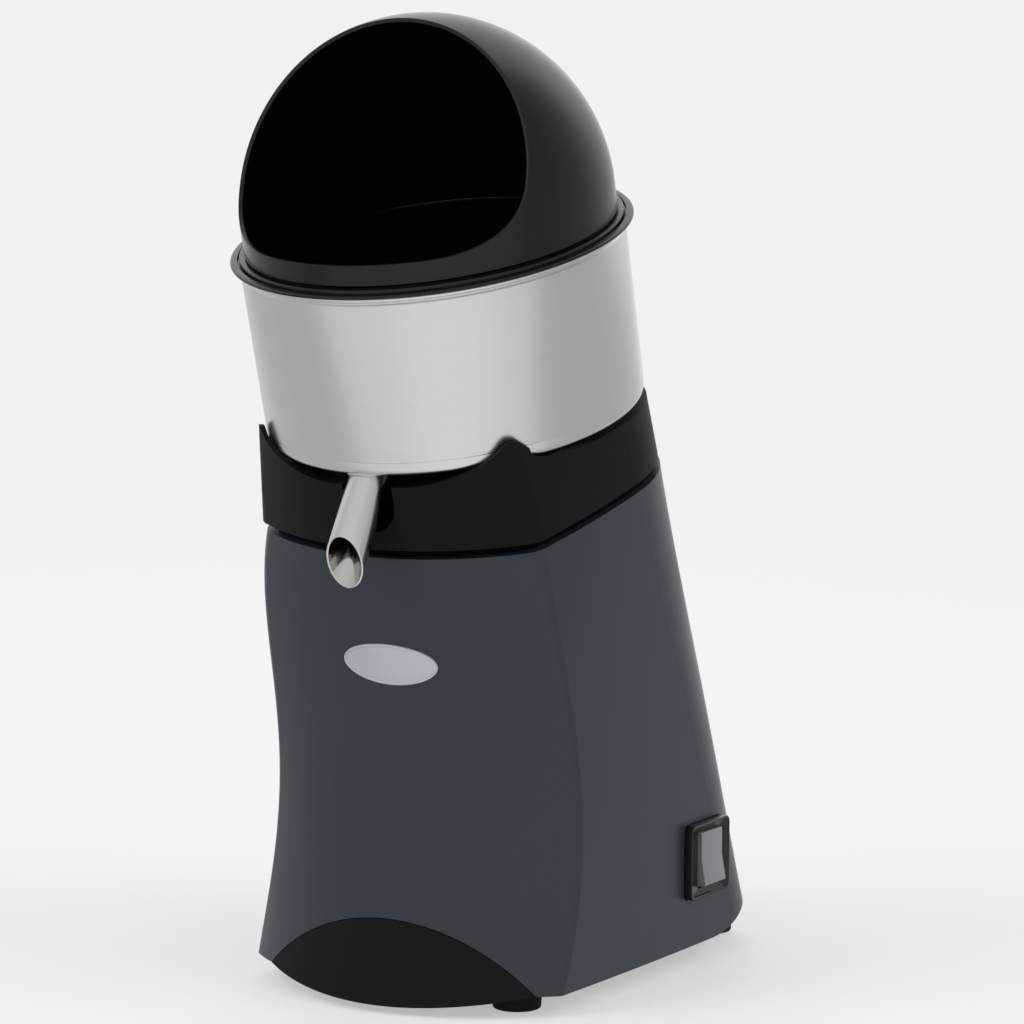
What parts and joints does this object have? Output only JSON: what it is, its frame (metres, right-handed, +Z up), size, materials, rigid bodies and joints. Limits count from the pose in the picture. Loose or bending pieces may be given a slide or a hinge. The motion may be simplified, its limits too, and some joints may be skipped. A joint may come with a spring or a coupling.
{
  "type": "juice extractor",
  "caption": "Electric citrus press: leaning painted body with a motor, stainless juice bowl with a spout, ribbed reamer, strainer and an open-mouthed splash dome.",
  "frame": {"origin": "on the ground, in the middle of the machine's overall length and width", "axes": "+Z up, -Y to the front where the spout is, +X to the right side with the rocker switch"},
  "size_m": [0.2, 0.3021, 0.4863],
  "materials": {
    "dome_black": "satin",
    "ring_black": "gloss",
    "stainless": "satin",
    "collar_black": "matte",
    "body_paint": "satin",
    "toe_black": "matte",
    "badge_silver": "satin",
    "rubber_black": "matte",
    "switch_black": "gloss",
    "switch_grey": "gloss",
    "zinc": "plated",
    "shaft_steel": "ground",
    "lamination": "matte",
    "winding": "enamelled copper",
    "cast_alloy": "as cast",
    "reamer_plastic": "matte",
    "basket_black": "matte",
    "base_black": "matte",
    "terminal_white": "matte"
  },
  "bodies": {
    "frame": {"badge_plate": "badge_silver", "base_plate": "base_black", "base_screws": "zinc", "body_shell": "body_paint", "cable_gland": "base_black", "capacitor_clip": "zinc", "collar": "collar_black", "collar_gasket": "rubber_black", "collar_screws": "zinc", "foot_front_left": "rubber_black", "foot_front_right": "rubber_black", "foot_rear_left": "rubber_black", "foot_rear_right": "rubber_black", "foot_screws": "zinc", "gland_nut": "base_black", "lower_bearing": "shaft_steel", "lower_end_bell": "cast_alloy", "motor_bolts": "zinc", "motor_plate": "cast_alloy", "plate_screws": "zinc", "run_capacitor": "cast_alloy", "shaft_seal": "rubber_black", "stator_core": "lamination", "stator_windings": "winding", "switch_frame": "switch_black", "switch_housing": "switch_black", "switch_pin": "shaft_steel", "terminal_block": "terminal_white", "toe_panel": "toe_black", "toe_screws": "zinc", "upper_bearing": "shaft_steel", "upper_end_bell": "cast_alloy"},
    "spindle": {"drive_shaft": "shaft_steel", "rotor": "lamination", "cooling_fan": "base_black", "drive_pin": "shaft_steel"},
    "reamer": {"reamer_cone": "reamer_plastic"},
    "bowl": {"juice_bowl": "stainless", "spout_tube": "stainless", "rim_ring": "ring_black", "strainer": "basket_black"},
    "dome": {"splash_dome": "dome_black"},
    "rocker": {"switch_rocker": "switch_grey"}
  },
  "joints": [
    {"name": "spindle_spin", "type": "hinge", "parent": "frame", "child": "spindle", "pos_m": [0, -0.0542, 0.3771], "axis": [0, -0.2588, 0.9659], "continuous": true},
    {"name": "bowl_lift", "type": "slide", "parent": "frame", "child": "bowl", "axis": [0, -0.2588, 0.9659], "range_m": [0, 0.08]},
    {"name": "reamer_lift", "type": "slide", "parent": "spindle", "child": "reamer", "axis": [0, -0.2588, 0.9659], "range_m": [0, 0.08]},
    {"name": "dome_lift", "type": "slide", "parent": "bowl", "child": "dome", "axis": [0, -0.2588, 0.9659], "range_m": [0, 0.08]},
    {"name": "rocker_tilt", "type": "hinge", "parent": "frame", "child": "rocker", "pos_m": [0.086, 0.064, 0.0555], "axis": [0, 1, 0], "range_deg": [0, 10]}
  ],
  "couplings": [
    {"joint": "reamer_lift", "follows": "bowl_lift", "ratio": 1}
  ]
}
